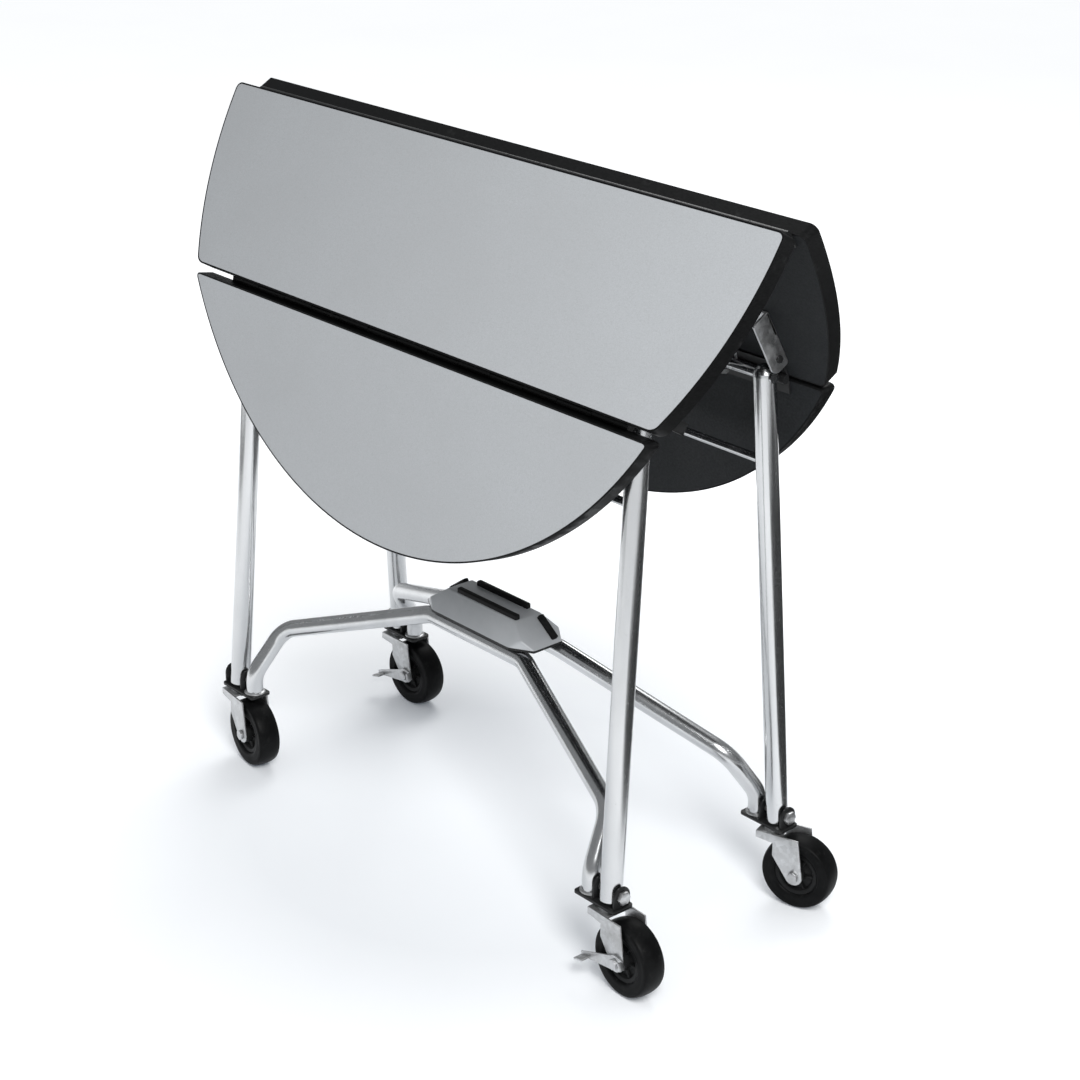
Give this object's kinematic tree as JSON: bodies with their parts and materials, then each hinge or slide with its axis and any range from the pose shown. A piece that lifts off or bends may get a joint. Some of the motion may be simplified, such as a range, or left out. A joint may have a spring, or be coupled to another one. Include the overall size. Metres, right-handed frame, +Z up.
{
  "type": "folding service table",
  "caption": "Folding round-top service table on swivel casters: hinged grey leaves, tubular leg frames swinging on a bent-tube base with a rubber-topped centre box.",
  "frame": {"origin": "centre of the footprint's box, on the floor", "axes": "+Z up, +X along the ridge between the two halves of the top, -Y towards the side that faces the camera in the picture"},
  "size_m": [0.9144, 0.3562, 0.8511],
  "materials": {
    "laminate": "light grey laminate, fine matte",
    "leaf_board": "near-black backing, matt",
    "edge_vinyl": "black vinyl, satin",
    "black_steel": "black, satin",
    "chrome_tube": "bright plated",
    "zinc_plate": "zinc plated, satin",
    "box_paint": "grey, satin",
    "rubber_rest": "black, matt",
    "tyre_rubber": "black rubber",
    "wheel_core": "black wheel centre, satin"
  },
  "bodies": {
    "base": {"base_tube_front": "chrome_tube", "base_tube_back": "chrome_tube", "box_base_plate": "black_steel", "box_cover": "box_paint", "box_rests": "rubber_rest", "foot_brackets_front": "black_steel", "foot_brackets_back": "black_steel", "foot_pivot_bolts": "zinc_plate", "caster_kingpins": "zinc_plate"},
    "ridge": {"ridge_hinge_pin": "black_steel"},
    "front_inner_leaf": {"inner_leaf_front": "leaf_board", "inner_laminate_front": "laminate", "inner_edge_front": "edge_vinyl", "ridge_hinge_wing_front": "black_steel", "outer_hinge_inner_wing_front": "black_steel", "outer_hinge_pin_front": "black_steel", "leaf_brackets_front": "zinc_plate"},
    "front_outer_leaf": {"outer_leaf_front": "leaf_board", "outer_laminate_front": "laminate", "outer_edge_front": "edge_vinyl", "outer_hinge_outer_wing_front": "black_steel"},
    "front_leg_frame": {"leg_front_left": "chrome_tube", "leg_front_right": "chrome_tube", "pivot_rod_front": "chrome_tube", "stretcher_rod_front": "chrome_tube"},
    "front_stays": {"leaf_stays_front": "black_steel"},
    "back_inner_leaf": {"inner_leaf_back": "leaf_board", "inner_laminate_back": "laminate", "inner_edge_back": "edge_vinyl", "ridge_hinge_wing_back": "black_steel", "outer_hinge_inner_wing_back": "black_steel", "outer_hinge_pin_back": "black_steel", "leaf_brackets_back": "zinc_plate"},
    "back_outer_leaf": {"outer_leaf_back": "leaf_board", "outer_laminate_back": "laminate", "outer_edge_back": "edge_vinyl", "outer_hinge_outer_wing_back": "black_steel"},
    "back_leg_frame": {"leg_back_left": "chrome_tube", "leg_back_right": "chrome_tube", "pivot_rod_back": "chrome_tube", "stretcher_rod_back": "chrome_tube"},
    "back_stays": {"leaf_stays_back": "black_steel"},
    "caster_front_left": {"fork_front_left": "zinc_plate", "axle_front_left": "zinc_plate"},
    "wheel_front_left": {"hub_front_left": "wheel_core", "tyre_front_left": "tyre_rubber"},
    "caster_front_right": {"fork_front_right": "zinc_plate", "axle_front_right": "zinc_plate"},
    "wheel_front_right": {"hub_front_right": "wheel_core", "tyre_front_right": "tyre_rubber"},
    "brake_front_right": {"brake_lever_front_right": "zinc_plate"},
    "caster_back_left": {"fork_back_left": "zinc_plate", "axle_back_left": "zinc_plate"},
    "wheel_back_left": {"hub_back_left": "wheel_core", "tyre_back_left": "tyre_rubber"},
    "brake_back_left": {"brake_lever_back_left": "zinc_plate"},
    "caster_back_right": {"fork_back_right": "zinc_plate", "axle_back_right": "zinc_plate"},
    "wheel_back_right": {"hub_back_right": "wheel_core", "tyre_back_right": "tyre_rubber"}
  },
  "joints": [
    {"name": "table_unfold", "type": "slide", "parent": "base", "child": "ridge", "axis": [0, 0, -1], "range_m": [0, 0.17826]},
    {"name": "front_inner_leaf_hinge", "type": "hinge", "parent": "ridge", "child": "front_inner_leaf", "pos_m": [0, 0, 0.8401], "axis": [-1, 0, 0], "range_deg": [0, 60]},
    {"name": "front_outer_leaf_hinge", "type": "hinge", "parent": "front_inner_leaf", "child": "front_outer_leaf", "pos_m": [0, -0.1143, 0.64213], "axis": [-1, 0, 0], "range_deg": [0, 20]},
    {"name": "front_leg_swing", "type": "hinge", "parent": "base", "child": "front_leg_frame", "pos_m": [0, -0.132, 0.112], "axis": [1, 0, 0], "range_deg": [0, 12.6]},
    {"name": "front_stays_swing", "type": "hinge", "parent": "front_leg_frame", "child": "front_stays", "pos_m": [0, -0.09158, 0.65048], "axis": [-1, 0, 0], "range_deg": [0, 132.6]},
    {"name": "back_inner_leaf_hinge", "type": "hinge", "parent": "ridge", "child": "back_inner_leaf", "pos_m": [0, 0, 0.8401], "axis": [1, 0, 0], "range_deg": [0, 60]},
    {"name": "back_outer_leaf_hinge", "type": "hinge", "parent": "back_inner_leaf", "child": "back_outer_leaf", "pos_m": [0, 0.1143, 0.64213], "axis": [1, 0, 0], "range_deg": [0, 20]},
    {"name": "back_leg_swing", "type": "hinge", "parent": "base", "child": "back_leg_frame", "pos_m": [0, 0.132, 0.112], "axis": [-1, 0, 0], "range_deg": [0, 12.6]},
    {"name": "back_stays_swing", "type": "hinge", "parent": "back_leg_frame", "child": "back_stays", "pos_m": [0, 0.09158, 0.65048], "axis": [1, 0, 0], "range_deg": [0, 132.6]},
    {"name": "front_left_caster_swivel", "type": "hinge", "parent": "base", "child": "caster_front_left", "pos_m": [-0.35, -0.132, 0.092], "axis": [0, 0, 1], "continuous": true},
    {"name": "front_left_wheel_spin", "type": "hinge", "parent": "caster_front_left", "child": "wheel_front_left", "pos_m": [-0.31726, -0.13614, 0.04445], "axis": [0.1253, 0.9921, 0], "continuous": true},
    {"name": "front_right_caster_swivel", "type": "hinge", "parent": "base", "child": "caster_front_right", "pos_m": [0.35, -0.132, 0.092], "axis": [0, 0, 1], "continuous": true},
    {"name": "front_right_wheel_spin", "type": "hinge", "parent": "caster_front_right", "child": "wheel_front_right", "pos_m": [0.38297, -0.1335, 0.04445], "axis": [0.0454, 0.999, 0], "continuous": true},
    {"name": "front_right_brake", "type": "hinge", "parent": "caster_front_right", "child": "brake_front_right", "pos_m": [0.38297, -0.1335, 0.04445], "axis": [0.0454, 0.999, 0], "range_deg": [0, 25]},
    {"name": "back_left_caster_swivel", "type": "hinge", "parent": "base", "child": "caster_back_left", "pos_m": [-0.35, 0.132, 0.092], "axis": [0, 0, 1], "continuous": true},
    {"name": "back_left_wheel_spin", "type": "hinge", "parent": "caster_back_left", "child": "wheel_back_left", "pos_m": [-0.317, 0.13235, 0.04445], "axis": [-0.0105, 0.9999, 0], "continuous": true},
    {"name": "back_left_brake", "type": "hinge", "parent": "caster_back_left", "child": "brake_back_left", "pos_m": [-0.317, 0.13235, 0.04445], "axis": [-0.0105, 0.9999, 0], "range_deg": [0, 25]},
    {"name": "back_right_caster_swivel", "type": "hinge", "parent": "base", "child": "caster_back_right", "pos_m": [0.35, 0.132, 0.092], "axis": [0, 0, 1], "continuous": true},
    {"name": "back_right_wheel_spin", "type": "hinge", "parent": "caster_back_right", "child": "wheel_back_right", "pos_m": [0.38152, 0.14176, 0.04445], "axis": [-0.2957, 0.9553, 0], "continuous": true}
  ],
  "couplings": [
    {"joint": "front_inner_leaf_hinge", "follows": "table_unfold", "rad_per_m": 5.8744},
    {"joint": "front_outer_leaf_hinge", "follows": "table_unfold", "rad_per_m": 1.9581},
    {"joint": "front_leg_swing", "follows": "table_unfold", "rad_per_m": 1.2334},
    {"joint": "front_stays_swing", "follows": "table_unfold", "rad_per_m": 12.982},
    {"joint": "back_inner_leaf_hinge", "follows": "table_unfold", "rad_per_m": 5.8744},
    {"joint": "back_outer_leaf_hinge", "follows": "table_unfold", "rad_per_m": 1.9581},
    {"joint": "back_leg_swing", "follows": "table_unfold", "rad_per_m": 1.2334},
    {"joint": "back_stays_swing", "follows": "table_unfold", "rad_per_m": 12.982}
  ]
}
